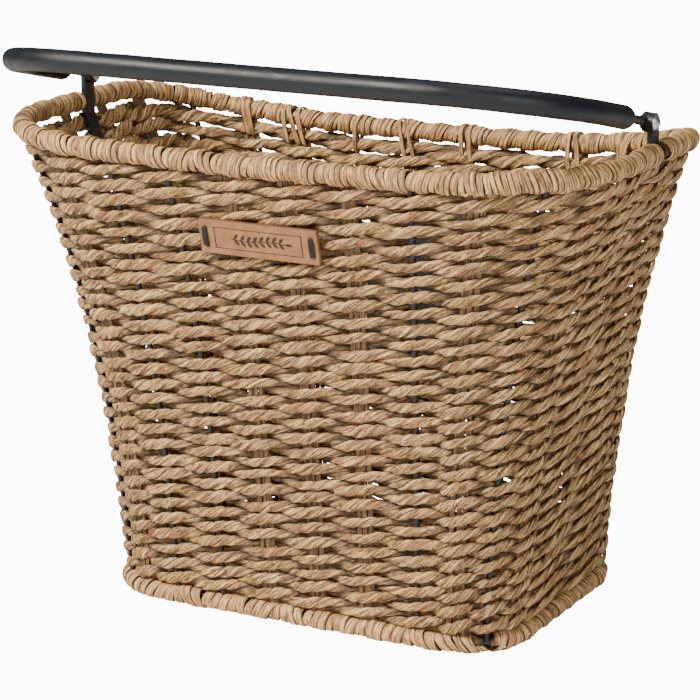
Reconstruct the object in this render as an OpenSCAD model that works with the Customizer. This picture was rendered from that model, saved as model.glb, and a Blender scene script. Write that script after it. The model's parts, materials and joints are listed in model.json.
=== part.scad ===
// Handlebar basket: a twined fibre basket on a steel wire frame, with a padded
// bail that folds on two riveted brackets and a quick release plate on its back.
// +X runs along the rim, -Y is the front with the leather tag, +Y is the bicycle side.

/* [Rim] */
// Length of the top rim, between the middles of its wire
rim_length = 370; // [350:1:390]
// Width of the top rim, between the middles of its wire
rim_width = 225; // [210:1:240]
// Corner radius of the top rim
rim_corner = 77; // [65:1:90]
// Height of the rim wire's middle at the two short ends
rim_height = 278; // [250:1:300]
// How far the front rim dips at its middle
front_dip = 4.6; // [0:0.2:10]
// How far the back rim dips at its middle
back_dip = 21.5; // [5:0.5:28]
// Radius of the fibre wrap around the top rim
rim_wrap_radius = 6.2; // [5:0.1:7]
// Width of the opening in the wrap that lets a bracket through
wrap_opening = 14; // [12:0.5:20]

/* [Base] */
// Length of the base ring, between the middles of its wire
base_length = 253; // [235:1:290]
// Width of the base ring, between the middles of its wire
base_width = 175; // [165:1:190]
// Corner radius of the base ring
base_corner = 37; // [30:1:50]
// How far the middle of the base lies behind the middle of the rim
base_shift = 18.2; // [10:0.1:22]
// Radius of the fibre wrap around the base ring
base_wrap_radius = 5.8; // [5:0.1:7]
// How much of the base wrap is worn flat where it stands
base_flat = 0.4; // [0.2:0.1:0.8]

/* [Weave] */
// How strongly the wall flares out towards the rim: 1 is straight
flare_power = 2.3; // [1:0.1:3]
// How much the lower wall swells again within that flare
flare_swell = 0.43; // [0:0.01:0.6]
// Thickness of the woven wall
wall_thickness = 7; // [6:0.5:10]
// Space between the first row and the rim wrap along the front
front_gap = 0.8; // [0.5:0.1:3]
// Space between the first row and the rim wrap along the ends and the back
back_gap = 4.5; // [1:0.5:8]
// Number of stakes that the rows are twined around
stake_count = 28; // [20:4:36]
// Width of a flat triple stake
stake_width = 10; // [6:0.5:12]
// Thickness of the woven floor
floor_thickness = 6; // [4:0.5:8]

/* [Steel frame] */
// Diameter of the rim and base wires
ring_wire = 4; // [3:0.5:5]
// Diameter of the uprights and crossbars
frame_wire = 3.6; // [3:0.2:4]

/* [Bail] */
// Length of a bail arm, from the pivot to the middle of the crossbar
arm_length = 135; // [95:0.5:140]
// Height of the pivot above the floor
pivot_height = 294.4; // [290:0.2:300]
// How far the pivot lies behind the middle of the rim
pivot_shift = 4.5; // [0:0.5:10]
// Angle of the bail above the horizontal where it stands folded forward
rest_angle = 12.8; // [5:0.1:30]
// Bend radius of the bail's two corners
bail_bend = 74; // [30:1:80]
// Diameter of the bail wire
bail_wire = 5; // [4:0.5:6]
// Outer diameter of the foam grip
grip_diameter = 13; // [11:0.5:16]
// Bare length of each arm between the pivot and the foam
bare_arm = 30; // [12:1:40]

/* [Brackets and rivets] */
// Width of the flat bracket
bracket_width = 10.5; // [8:0.5:12]
// Thickness of the flat bracket
bracket_thickness = 2.8; // [2:0.1:3]
// Height at which the bracket bends to follow the wall
bracket_bend = 270; // [266:1:274]
// Length of the bracket below its bend
bracket_foot = 22; // [12:1:30]
// Shank diameter of the pivot rivet
rivet_shank = 5; // [4:0.5:6]
// Head diameter of the pivot rivet
rivet_head = 9; // [8:0.5:10]
// Diameter of the flattened eye at the end of each arm
eye_diameter = 11; // [9:0.5:12]
// Radial play of the eye on its rivet
eye_play = 0.06; // [0.03:0.01:0.1]

/* [Leather tag] */
// Length of the tag
tag_length = 74; // [60:1:90]
// Height of the tag
tag_height = 20.5; // [16:0.5:24]
// Thickness of the tag
tag_thickness = 2.4; // [1.6:0.2:3]
// Height of the tag's middle above the floor
tag_level = 233; // [200:1:245]

/* [Quick release plate] */
// Width of the plate
plate_width = 92; // [84:1:110]
// Height of the plate
plate_height = 104; // [96:1:120]
// Thickness of the plate
plate_thickness = 5; // [4:0.5:7]
// Height of the plate's middle above the floor
plate_level = 158; // [140:1:165]
// Distance between the screws across the plate
screw_span_x = 70; // [60:1:76]
// Distance between the screws up the plate
screw_span_z = 72; // [60:1:76]
// Thread diameter of the plate screws
screw_diameter = 5; // [4:0.5:6]
// Radius of the bracket bar that the two hooks take
hook_bar_radius = 5; // [4:0.5:6]
// Radius of the latch pin's hole
latch_radius = 4; // [3:0.5:5]

/* [Hidden] */
$fn = 48;

FIBRE = [0.74, 0.60, 0.42];
STRIP = [0.66, 0.55, 0.36];
STEEL_BLACK = [0.06, 0.06, 0.07];
FOAM = [0.17, 0.18, 0.20];
LEATHER = [0.70, 0.52, 0.36];
ZINC = [0.78, 0.79, 0.82];
PLASTIC = [0.09, 0.09, 0.10];

// Where the ring wires lie.
base_level = base_wrap_radius - base_flat;
wall_low = base_level + base_wrap_radius + 0.5;
wire_radius = ring_wire / 2;
rod_radius = frame_wire / 2;

// Bracket and rivet places, counted outwards along +X from the middle of the basket.
bracket_outer = rim_length / 2 - wire_radius + 0.1;
bracket_inner = bracket_outer - bracket_thickness;
washer_thickness = 1;
eye_thickness = 2.6;
side_play = 0.3;
eye_outer = bracket_inner - washer_thickness - side_play;
eye_inner = eye_outer - eye_thickness;
arm_x = (eye_outer + eye_inner) / 2;
rivet_inner_head = 1.2;
rivet_dome = 2.4;
stub_start = 9;

// Quick release plate places, counted outwards from the outer face of the back wall.
plate_gap = 0.4;
plate_back = plate_gap + plate_thickness;
wall_middle = -wall_thickness / 2;
backing_thickness = 3;
backing_face = -wall_thickness - plate_gap;
hook_depth = 2 * hook_bar_radius + 10;
hook_width = 14;
hook_span = 60;
hook_wall = 5;
hook_round = 4;
hook_bar_out = plate_back + hook_wall / 2 + hook_bar_radius + 0.4;
hook_bar_up = plate_height / 2 - hook_bar_radius - hook_wall - 1;
bar_play = 0.1;
latch_boss = 12;
latch_down = 17 - plate_height / 2;
screw_head = 9;
screw_head_height = 3;
nut_height = 4;
nut_flats = 8;
wrench_play = 0.2;
screw_end = plate_back + 1.5;
washer_height = 1;

// ---- Outline of the basket -------------------------------------------------------------
// A place on a rounded rectangle is a number from 0 to 8: 0 to 1 is the right side, 1 to 2 the
// corner at its back end, 2 to 3 the back side, and so on round to the front right corner.
function turned(p, quarter) =
    let (c = cos(90 * quarter), s = sin(90 * quarter)) [p.x * c - p.y * s, p.x * s + p.y * c];
function quarter_of(place) = floor((place + 8) / 2) % 4;
function along_of(place) = (place + 8) - 2 * floor((place + 8) / 2);
function outline(place, length, width, corner) =
    let (quarter = quarter_of(place), along = along_of(place), odd = quarter % 2 == 1,
         reach = (odd ? width : length) / 2, half_side = (odd ? length : width) / 2 - corner,
         angle = 90 * max(0, along - 1))
    turned([reach - corner + corner * cos(angle),
            half_side * (2 * min(along, 1) - 1) + corner * sin(angle)], quarter);
function outward(place) =
    turned([cos(90 * max(0, along_of(place) - 1)), sin(90 * max(0, along_of(place) - 1))],
           quarter_of(place));

function smooth(x) = let (k = min(1, max(0, x))) k * k * (3 - 2 * k);
function rim_level(p) =
    let (u = 2 * p.x / rim_length, frontness = smooth((1 - 2 * p.y / rim_width) / 2))
    rim_height - frontness * front_dip * (1 - u * u)
               - (1 - frontness) * back_dip * (1 - u * u * u * u);
function rim_xy(place) = outline(place, rim_length, rim_width, rim_corner);
function base_xy(place) = outline(place, base_length, base_width, base_corner) + [0, base_shift];
function rim_point(place) = let (p = rim_xy(place)) [p.x, p.y, rim_level(p)];
function base_point(place) = let (p = base_xy(place)) [p.x, p.y, base_level];

// Height of the wall's upper edge: close under the wrap in front, lower at the ends and back.
function wall_top(place) =
    let (p = rim_xy(place), open = smooth(1 + 2 * p.y / rim_width))
    rim_level(p) - rim_wrap_radius - front_gap - (back_gap - front_gap) * open;
// Share of the way from the base outline to the rim outline, at a share k of the height.
function flare(k) = pow(k, flare_power) + flare_swell * k * (1 - k);
// A point of the wall's middle surface at a height z, moved outwards by off.
function wall_at(place, z, off) =
    let (rim = rim_point(place), base = base_point(place), n = outward(place),
         k = flare((z - base_level) / (rim.z - base_level)))
    [base.x + (rim.x - base.x) * k + n.x * off, base.y + (rim.y - base.y) * k + n.y * off, z];

// The back wall at the plate: its outer face leans back by this angle.
plate_spot = wall_at(2.5, plate_level, wall_thickness / 2);
back_low = wall_at(2.5, plate_level - plate_height / 2, wall_thickness / 2);
back_high = wall_at(2.5, plate_level + plate_height / 2, wall_thickness / 2);
back_lean = atan2(back_high.y - back_low.y, back_high.z - back_low.z);

// The whole basket is moved along Y so that its box stands with its middle on the origin.
rim_front = -rim_width / 2 - rim_wrap_radius;
grip_front = pivot_shift - arm_length * cos(rest_angle) - grip_diameter / 2;
front_edge = min(rim_front, grip_front);
hook_corner_out = plate_back + hook_depth - hook_round;
hook_corner_up = hook_bar_up + hook_bar_radius + hook_wall - hook_round;
back_edge = plate_spot.y + hook_corner_out * cos(back_lean) + hook_corner_up * sin(back_lean)
            + hook_round;
centre_shift = -(front_edge + back_edge) / 2;

// ---- Shared shapes ---------------------------------------------------------------------
module centred() translate([0, centre_shift, 0]) children();

// Round rod between two points.
module rod(p, q, r) {
    d = q - p;
    translate(p)
        rotate([0, acos(d.z / norm(d)), atan2(d.y, d.x)])
            cylinder(h = norm(d), r = r);
}

module joint_ball(p, r) translate(p) sphere(r = r);

// Flat ring that follows a rounded rectangle: a round bar bent to that outline.
module ring_bar(length, width, corner, r) {
    for (sx = [-1, 1], sy = [-1, 1])
        translate([sx * (length / 2 - corner), sy * (width / 2 - corner), 0])
            rotate([0, 0, sx > 0 ? (sy > 0 ? 0 : 270) : (sy > 0 ? 90 : 180)])
                rotate_extrude(angle = 90) translate([corner, 0]) circle(r = r);
    for (sy = [-1, 1])
        rod([corner - length / 2, sy * width / 2, 0], [length / 2 - corner, sy * width / 2, 0], r);
    for (sx = [-1, 1])
        rod([sx * length / 2, corner - width / 2, 0], [sx * length / 2, width / 2 - corner, 0], r);
}

// Ring of points around one place of the rim.
function rim_section(place, r, sides) =
    let (p = rim_point(place), n = outward(place))
    [for (i = [0:sides - 1]) let (a = 360 * i / sides)
        [p.x + r * cos(a) * n.x, p.y + r * cos(a) * n.y, p.z + r * sin(a)]];

// Places along the rim from one to another, closer together in the corners.
function rim_places(from, to) =
    let (steps = ceil((to - from) * 9)) [for (i = [0:steps]) from + (to - from) * i / steps];

// Two triangles between neighbouring points of sections a and b, each of n points.
function band(a, b, i, n) =
    let (j = (i + 1) % n) [[a + i, b + i, b + j], [a + i, b + j, a + j]];
function flipped(faces) = [for (f = faces) [f[0], f[2], f[1]]];
function joined(lists) = [for (l = lists) each l];

// Bar through a list of sections that run upwards, each a counter-clockwise list of points.
module swept(sections) {
    sides = len(sections[0]);
    count = len(sections);
    last = (count - 1) * sides;
    polyhedron(
        points = joined(sections),
        faces = concat(
            joined([for (k = [0:count - 2], i = [0:sides - 1])
                    flipped(band(k * sides, (k + 1) * sides, i, sides))]),
            [for (i = [1:sides - 2]) [0, i, i + 1]],
            [for (i = [1:sides - 2]) [last, last + i + 1, last + i]]));
}

// Closed wire along the whole rim.
module rim_loop(r, sides) {
    places = [for (p = rim_places(0, 8)) if (p < 8) p];
    count = len(places);
    polyhedron(points = joined([for (p = places) rim_section(p, r, sides)]),
               faces = joined([for (k = [0:count - 1], i = [0:sides - 1])
                               flipped(band(k * sides, ((k + 1) % count) * sides, i, sides))]));
}

// Open sleeve along part of the rim, with a hole for the wire.
module rim_sleeve(from, to, r_out, r_in, sides) {
    places = rim_places(from, to);
    count = len(places);
    inner = count * sides;
    last = (count - 1) * sides;
    polyhedron(
        points = concat(joined([for (p = places) rim_section(p, r_out, sides)]),
                        joined([for (p = places) rim_section(p, r_in, sides)])),
        faces = concat(
            joined([for (k = [0:count - 2], i = [0:sides - 1])
                    flipped(band(k * sides, (k + 1) * sides, i, sides))]),
            joined([for (k = [0:count - 2], i = [0:sides - 1])
                    band(inner + k * sides, inner + (k + 1) * sides, i, sides)]),
            joined([for (i = [0:sides - 1]) band(0, inner, i, sides)]),
            joined([for (i = [0:sides - 1]) flipped(band(last, inner + last, i, sides))])));
}

// Height in the wall at a share of the way from its lower to its upper edge.
function wall_level(place, share) = wall_low + (wall_top(place) - wall_low) * share;

// Part of the woven wall between two places of the outline, as bands of rows one above another.
wall_bands = 3;
band_gap = 0.3;
module wall_panel(from, to) for (band = [0:wall_bands - 1]) wall_band(from, to, band);
module wall_band(from, to, band) {
    places = rim_places(from, to);
    count = len(places);
    levels = 2;
    sheet = count * (levels + 1);
    function height(place, share) =
        let (low = wall_level(place, band / wall_bands),
             high = wall_level(place, (band + 1) / wall_bands) - band_gap)
        low + (high - low) * share;
    function spot(place, level, off) = wall_at(place, height(place, level / levels), off);
    function quad(a, b, c, d) = [[a, b, c], [a, c, d]];
    polyhedron(
        points = [for (off = [wall_thickness / 2, -wall_thickness / 2], level = [0:levels],
                       p = places) spot(p, level, off)],
        faces = concat(
            joined([for (l = [0:levels - 1], k = [0:count - 2]) let (a = l * count + k)
                    flipped(quad(a, a + 1, a + 1 + count, a + count))]),
            joined([for (l = [0:levels - 1], k = [0:count - 2]) let (a = sheet + l * count + k)
                    quad(a, a + 1, a + 1 + count, a + count)]),
            joined([for (k = [0:count - 2]) quad(k, k + 1, sheet + k + 1, sheet + k)]),
            joined([for (k = [0:count - 2]) let (a = levels * count + k)
                    flipped(quad(a, a + 1, sheet + a + 1, sheet + a))]),
            joined([for (l = [0:levels - 1]) let (a = l * count)
                    flipped(quad(a, a + count, sheet + a + count, sheet + a))]),
            joined([for (l = [0:levels - 1]) let (a = l * count + count - 1)
                    quad(a, a + count, sheet + a + count, sheet + a)])));
}

// ---- Where the stakes stand ------------------------------------------------------------
side_run = rim_width - 2 * rim_corner;
end_run = rim_length - 2 * rim_corner;
arc_run = PI * rim_corner / 2;
span_runs = [side_run, arc_run, end_run, arc_run, side_run, arc_run, end_run, arc_run];
rim_run = 2 * (side_run + end_run) + 4 * arc_run;
// Place on the outline after a run along the rim, counted from the start of span k.
function place_after(run, k = 0) =
    let (span = span_runs[k % 8]) run <= span ? k + run / span : place_after(run - span, k + 1);
stake_pitch = rim_run / stake_count;
stake_places = [for (i = [0:stake_count - 1]) place_after(side_run / 2 + stake_pitch * (i + 0.5))];
// Steel uprights take the place of some stakes: three in front, two at the back, four in the corners.
function front_place(x) = 6 + (x + end_run / 2) / end_run;
function back_place(x) = 2 + (end_run / 2 - x) / end_run;
front_steel = [-2.5, -1.5, 2.5] * stake_pitch;
back_steel = [-1.5, 1.5] * stake_pitch;
corner_places = [1.5, 3.5, 5.5, 7.5];
steel_places = concat([for (x = front_steel) front_place(x)], [for (x = back_steel) back_place(x)],
                      corner_places);
function near_steel(place) = min([for (s = steel_places) abs(s - place)]) < 0.02;

bar_steps = 7;
function levels_between(low, high) = [for (i = [0:bar_steps]) low + (high - low) * i / bar_steps];

// Round steel bar inside the wall, from the base wire to the rim wire.
module upright(place) {
    sides = 10;
    swept([for (z = levels_between(base_level, rim_point(place).z))
           [for (i = [0:sides - 1])
            wall_at(place, z, 0) + rod_radius * [cos(360 * i / sides), sin(360 * i / sides), 0]]]);
}

// Flat stake inside the wall, as high as the wall.
module stake(place) {
    half = 0.9;
    n = outward(place);
    side = [-n.y, n.x, 0] * stake_width / 2;
    swept([for (z = levels_between(wall_low + 0.5, wall_top(place) - 0.5))
           [wall_at(place, z, half) - side, wall_at(place, z, half) + side,
            wall_at(place, z, -half) + side, wall_at(place, z, -half) - side]]);
}

// ---- Rim and base ----------------------------------------------------------------------
module top_rim_wire() color(STEEL_BLACK) centred() rim_loop(wire_radius, 12);

wrap_gap = wrap_opening / 2 / side_run;
strap_place = 0.5 + pivot_shift / side_run;
module top_wrap_front()
    color(FIBRE) centred()
        rim_sleeve(5 - strap_place + wrap_gap, 8 + strap_place - wrap_gap,
                   rim_wrap_radius, wire_radius, 12);
module top_wrap_back()
    color(FIBRE) centred()
        rim_sleeve(strap_place + wrap_gap, 5 - strap_place - wrap_gap,
                   rim_wrap_radius, wire_radius, 12);

module base_ring_wire()
    color(STEEL_BLACK) centred() translate([0, base_shift, base_level])
        ring_bar(base_length, base_width, base_corner, wire_radius);

module base_wrap()
    color(FIBRE) centred() difference() {
        translate([0, base_shift, base_level])
            ring_bar(base_length, base_width, base_corner, base_wrap_radius);
        translate([0, base_shift, base_level])
            ring_bar(base_length, base_width, base_corner, wire_radius);
        translate([-base_length, -base_width, -10]) cube([2 * base_length, 3 * base_width, 10]);
    }

// ---- Steel frame inside the weave ------------------------------------------------------
module front_uprights()
    color(STEEL_BLACK) centred() for (x = front_steel) upright(front_place(x));
module corner_uprights()
    color(STEEL_BLACK) centred() for (p = corner_places) upright(p);
module back_uprights()
    color(STEEL_BLACK) centred() for (x = back_steel) upright(back_place(x));
module plate_crossbars()
    color(STEEL_BLACK) on_back_wall()
        for (z = [-1, 1] * (screw_span_z / 2 - 8))
            rod([-1.5 * stake_pitch, wall_middle, z], [1.5 * stake_pitch, wall_middle, z],
                rod_radius);
module floor_wires()
    color(STEEL_BLACK) centred() translate([0, base_shift, base_level]) {
        for (x = [-1, 1] * base_length / 5)
            rod([x, -base_width / 2, 0], [x, base_width / 2, 0], rod_radius);
        for (y = [-1, 1] * base_width / 6)
            rod([-base_length / 2, y, 0], [base_length / 2, y, 0], rod_radius);
    }

// ---- Weave -----------------------------------------------------------------------------
module woven_front() color(FIBRE) centred() wall_panel(5.5, 7.5);
module woven_back() color(FIBRE) centred() wall_panel(1.5, 3.5);
module woven_left() color(FIBRE) centred() wall_panel(3.5, 5.5);
module woven_right() color(FIBRE) centred() wall_panel(7.5, 9.5);

module woven_floor()
    color(FIBRE) centred()
        translate([0, base_shift, base_level - floor_thickness / 2 + 0.4])
            linear_extrude(floor_thickness)
                rounded_sheet(base_length - 2 * base_wrap_radius - 0.6,
                              base_width - 2 * base_wrap_radius - 0.6,
                              base_corner - base_wrap_radius);

module stakes()
    color(STRIP) centred() for (p = stake_places) if (!near_steel(p)) stake(p);

// Rectangle with round corners, its middle on the origin.
module rounded_sheet(length, width, corner) {
    square([length - 2 * corner, width], center = true);
    square([length, width - 2 * corner], center = true);
    for (sx = [-1, 1], sy = [-1, 1])
        translate([sx * (length / 2 - corner), sy * (width / 2 - corner)]) circle(r = corner);
}

// ---- Leather tag -----------------------------------------------------------------------
tag_low = wall_at(6.5, tag_level - tag_height / 2, wall_thickness / 2);
tag_high = wall_at(6.5, tag_level + tag_height / 2, wall_thickness / 2);
front_lean = atan2(tag_low.y - tag_high.y, tag_high.z - tag_low.z);
stitch_gap = 66;
stitch_run = 12;
thread = 1.5;
// Puts things on the front wall: X along the rim, Z up the wall, -Y out of it.
module on_front_wall(z) {
    centred() translate(wall_at(6.5, z, wall_thickness / 2)) rotate([front_lean, 0, 0])
        children();
}

module tag_holes()
    for (x = [-1, 1] * stitch_gap / 2, z = [-1, 1] * stitch_run / 2)
        translate([x, 1, z]) rotate([90, 0, 0]) cylinder(h = tag_thickness + 3, r = thread / 2);

module leather_tag()
    color(LEATHER) on_front_wall(tag_level) difference() {
        translate([0, -0.3, 0]) rotate([90, 0, 0])
            linear_extrude(tag_thickness) rounded_sheet(tag_length, tag_height, 1.6);
        tag_holes();
    }

// One stitch: a run of thread over the face of the tag with a leg into the weave at each end.
module tag_stitches()
    color(STEEL_BLACK) on_front_wall(tag_level)
        for (x = [-1, 1] * stitch_gap / 2) {
            face = -0.3 - tag_thickness - thread / 2;
            rod([x, face, -stitch_run / 2], [x, face, stitch_run / 2], thread / 2);
            for (z = [-1, 1] * stitch_run / 2) {
                rod([x, face, z], [x, 2, z], thread / 2);
                joint_ball([x, face, z], thread / 2);
            }
        }

// ---- Brackets, rivets and washers ------------------------------------------------------
// Moves things to a pivot: side is 1 on the right and -1 on the left, X counts outwards.
module at_pivot(side)
    centred() translate([0, pivot_shift, pivot_height])
        if (side > 0) children(); else mirror([1, 0, 0]) children();

foot_place = 0.5;
foot_top = wall_at(foot_place, bracket_bend, 0);
foot_low = wall_at(foot_place, bracket_bend - bracket_foot, 0);
foot_lean = atan2(foot_top.x - foot_low.x, bracket_foot);

module bracket(side)
    color(STEEL_BLACK) at_pivot(side) {
        bend_z = bracket_bend - pivot_height;
        difference() {
            union() {
                translate([bracket_inner, 0, 0]) rotate([0, 90, 0])
                    cylinder(h = bracket_thickness, d = bracket_width);
                translate([bracket_inner, -bracket_width / 2, bend_z])
                    cube([bracket_thickness, bracket_width, -bend_z]);
                translate([bracket_outer - bracket_thickness / 2, 0, bend_z]) {
                    rotate([90, 0, 0])
                        cylinder(h = bracket_width, d = bracket_thickness, center = true);
                    rotate([0, foot_lean, 0])
                        translate([-bracket_thickness / 2, -bracket_width / 2, -bracket_foot])
                            cube([bracket_thickness, bracket_width, bracket_foot]);
                }
            }
            translate([bracket_inner - 1, 0, 0]) rotate([0, 90, 0])
                cylinder(h = bracket_thickness + 2, d = rivet_shank);
        }
        foot_wire();
    }
// Short wire welded across the foot of the bracket, between the rim and the first row.
module foot_wire() {
    level = rim_height - 2 * rim_wrap_radius;
    reach = 26;
    x = wall_at(foot_place, level, 0).x;
    rod([x, -reach, level - pivot_height], [x, reach, level - pivot_height], 1.5);
}
module bracket_left() bracket(-1);
module bracket_right() bracket(1);

module rivet(side)
    color(ZINC) at_pivot(side) {
        head_in = eye_inner - side_play - rivet_inner_head;
        translate([head_in, 0, 0]) rotate([0, 90, 0]) {
            cylinder(h = rivet_inner_head, d = rivet_head - 1);
            cylinder(h = bracket_outer - head_in + 0.2, d = rivet_shank);
        }
        translate([bracket_outer, 0, 0]) rotate([0, 90, 0]) domed_head();
    }
// Round head with a low dome, its flat side on the origin.
module domed_head() {
    dome_radius = (rivet_head * rivet_head / 4 + rivet_dome * rivet_dome) / (2 * rivet_dome);
    intersection() {
        cylinder(h = rivet_dome, d = rivet_head);
        translate([0, 0, rivet_dome - dome_radius]) sphere(r = dome_radius, $fn = 64);
    }
}
module rivet_left() rivet(-1);
module rivet_right() rivet(1);

module washer(side)
    color(PLASTIC) at_pivot(side)
        translate([bracket_inner - washer_thickness, 0, 0]) rotate([0, 90, 0])
            difference() {
                cylinder(h = washer_thickness, d = bracket_width);
                translate([0, 0, -1]) cylinder(h = washer_thickness + 2, d = rivet_shank);
            }
module washer_left() washer(-1);
module washer_right() washer(1);

// ---- Bail ------------------------------------------------------------------------------
// Local frame of the bail: the pivot axis is X, and the arms run along -Y.
module at_bail()
    centred() translate([0, pivot_shift, pivot_height]) rotate([-rest_angle, 0, 0]) children();

// Round bar along the bail's path, starting this far from the pivot.
module bail_path(start, r) {
    arm = arm_length - bail_bend;
    for (side = [-1, 1]) {
        rod([side * arm_x, -start, 0], [side * arm_x, -arm, 0], r);
        translate([side * (arm_x - bail_bend), -arm, 0])
            rotate([0, 0, side > 0 ? 270 : 180])
                rotate_extrude(angle = 90) translate([bail_bend, 0]) circle(r = r);
    }
    rod([bail_bend - arm_x, -arm_length, 0], [arm_x - bail_bend, -arm_length, 0], r);
}

module bail_wire_frame()
    color(STEEL_BLACK) at_bail() {
        bail_path(stub_start, bail_wire / 2);
        for (side = [-1, 1])
            difference() {
                union() {
                    translate([side * arm_x - eye_thickness / 2, 0, 0]) rotate([0, 90, 0])
                        cylinder(h = eye_thickness, d = eye_diameter);
                    translate([side * arm_x - eye_thickness / 2, -stub_start - 2, -bail_wire / 2])
                        cube([eye_thickness, stub_start + 2, bail_wire]);
                }
                translate([side * arm_x - eye_thickness, 0, 0]) rotate([0, 90, 0])
                    cylinder(h = 2 * eye_thickness, d = rivet_shank + 2 * eye_play);
            }
    }

module foam_grip()
    color(FOAM) at_bail() difference() {
        union() {
            bail_path(bare_arm + 2, grip_diameter / 2);
            for (side = [-1, 1])
                translate([side * arm_x, -bare_arm - 2.01, 0]) rotate([-90, 0, 0]) round_end();
        }
        bail_path(stub_start, bail_wire / 2);
    }
// Rounded end of the foam tube, 2 mm long.
module round_end()
    rotate_extrude() {
        square([grip_diameter / 2 - 2, 2.01]);
        intersection() {
            translate([grip_diameter / 2 - 2, 0.01]) circle(r = 2);
            square([grip_diameter / 2, 2.01]);
        }
    }

// ---- Quick release plate ---------------------------------------------------------------
screw_spots = [for (x = [-1, 1], z = [-1, 1]) [x * screw_span_x / 2, z * screw_span_z / 2]];
// Local frame on the back wall: X along the rim, Y out of the wall, Z up the wall.
module on_back_wall() centred() translate(plate_spot) rotate([-back_lean, 0, 0]) children();
// Same frame at a distance out of the wall, turned so that local Z points out of it.
module out_of_wall(y) on_back_wall() translate([0, y, 0]) rotate([-90, 0, 0]) children();
module at_screws(y) for (s = screw_spots) out_of_wall(y) translate([s.x, s.y, 0]) children();

// Hook that drops over the bracket's bar, open at the bottom.
module hook_lug(x) {
    top = hook_bar_radius + hook_wall;
    low = 14;
    slot = hook_bar_radius + bar_play;
    bar = hook_bar_out - plate_back;
    translate([x - hook_width / 2, plate_back, hook_bar_up])
        difference() {
            union() {
                translate([0, -0.5, -low - hook_round])
                    cube([hook_width, hook_depth - hook_round + 0.5, low + hook_round + top]);
                translate([0, -0.5, -low])
                    cube([hook_width, hook_depth + 0.5, low + top - hook_round]);
                for (z = [-low, top - hook_round])
                    translate([0, hook_depth - hook_round, z]) rotate([0, 90, 0])
                        cylinder(h = hook_width, r = hook_round);
            }
            translate([-1, bar, 0]) rotate([0, 90, 0]) cylinder(h = hook_width + 2, r = slot);
            translate([-1, bar - slot, -3 * low]) cube([hook_width + 2, 2 * slot, 3 * low]);
        }
}

module release_plate()
    color(PLASTIC) difference() {
        union() {
            out_of_wall(plate_gap) linear_extrude(plate_thickness)
                rounded_sheet(plate_width, plate_height, 9);
            on_back_wall() {
                translate([0, plate_back - 0.5, latch_down]) rotate([-90, 0, 0])
                    cylinder(h = latch_boss + 0.5, r = latch_radius + 5);
                for (x = [-1, 1] * hook_span / 2) hook_lug(x);
            }
        }
        at_screws(plate_gap - 1) {
            cylinder(h = plate_thickness + 2, d = screw_diameter);
            translate([0, 0, plate_thickness + 1 - nut_height])
                cylinder(h = nut_height + 1, r = (nut_flats / 2 + wrench_play) / cos(30), $fn = 6);
        }
        on_back_wall() translate([0, plate_gap - 1, latch_down]) rotate([-90, 0, 0])
            cylinder(h = plate_thickness + latch_boss + 2, r = latch_radius);
    }

module backing_plate()
    color(PLASTIC) difference() {
        out_of_wall(backing_face - backing_thickness) linear_extrude(backing_thickness)
            rounded_sheet(plate_width - 6, plate_height - 14, 8);
        at_screws(backing_face - backing_thickness - 1)
            cylinder(h = backing_thickness + 2, d = screw_diameter);
    }

washer_seat = backing_face - backing_thickness - washer_height;
module plate_screws()
    color(ZINC) {
        at_screws(washer_seat) cylinder(h = screw_end - washer_seat, d = screw_diameter);
        at_screws(washer_seat - screw_head_height) difference() {
            cylinder(h = screw_head_height, d = screw_head);
            translate([0, 0, -0.01]) cylinder(h = 2, r = 1.7, $fn = 6);
        }
    }
module plate_washers()
    color(ZINC) at_screws(washer_seat) difference() {
        cylinder(h = washer_height, d = screw_head + 2);
        translate([0, 0, -1]) cylinder(h = washer_height + 2, d = screw_diameter);
    }
module plate_nuts()
    color(ZINC) at_screws(plate_back - nut_height) difference() {
        cylinder(h = nut_height, r = nut_flats / 2 / cos(30), $fn = 6);
        translate([0, 0, -1]) cylinder(h = nut_height + 2, d = screw_diameter);
    }

top_rim_wire();
top_wrap_front();
top_wrap_back();
base_ring_wire();
base_wrap();
front_uprights();
corner_uprights();
back_uprights();
plate_crossbars();
floor_wires();
woven_front();
woven_back();
woven_left();
woven_right();
woven_floor();
stakes();
leather_tag();
tag_stitches();
bracket_left();
bracket_right();
rivet_left();
rivet_right();
washer_left();
washer_right();
bail_wire_frame();
foam_grip();
release_plate();
backing_plate();
plate_screws();
plate_washers();
plate_nuts();
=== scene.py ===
"""Looks of a handlebar basket: twined fibre rows, wound rims, a foam grip and a leather tag.

Lengths are millimetres until a mesh is made. +X runs along the rim, -Y is the front, +Z is up.
"""

import json
import math

import bpy
import numpy as np
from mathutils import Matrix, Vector


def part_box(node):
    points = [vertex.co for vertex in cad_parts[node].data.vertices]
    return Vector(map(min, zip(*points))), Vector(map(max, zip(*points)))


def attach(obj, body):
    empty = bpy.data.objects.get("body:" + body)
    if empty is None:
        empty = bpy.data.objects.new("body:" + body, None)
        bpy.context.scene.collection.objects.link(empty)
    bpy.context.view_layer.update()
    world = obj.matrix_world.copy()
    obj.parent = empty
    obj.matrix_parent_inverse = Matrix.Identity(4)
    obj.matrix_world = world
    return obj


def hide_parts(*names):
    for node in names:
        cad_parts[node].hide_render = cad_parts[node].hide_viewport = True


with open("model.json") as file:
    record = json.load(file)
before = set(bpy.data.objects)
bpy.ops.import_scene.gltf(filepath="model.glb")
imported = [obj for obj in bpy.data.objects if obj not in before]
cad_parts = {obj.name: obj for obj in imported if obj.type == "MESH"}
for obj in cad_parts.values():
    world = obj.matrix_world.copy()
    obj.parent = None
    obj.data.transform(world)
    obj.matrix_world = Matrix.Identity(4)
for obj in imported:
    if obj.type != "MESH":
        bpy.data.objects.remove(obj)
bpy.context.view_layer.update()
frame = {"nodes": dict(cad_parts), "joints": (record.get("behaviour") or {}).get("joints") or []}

MM = 0.001
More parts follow.
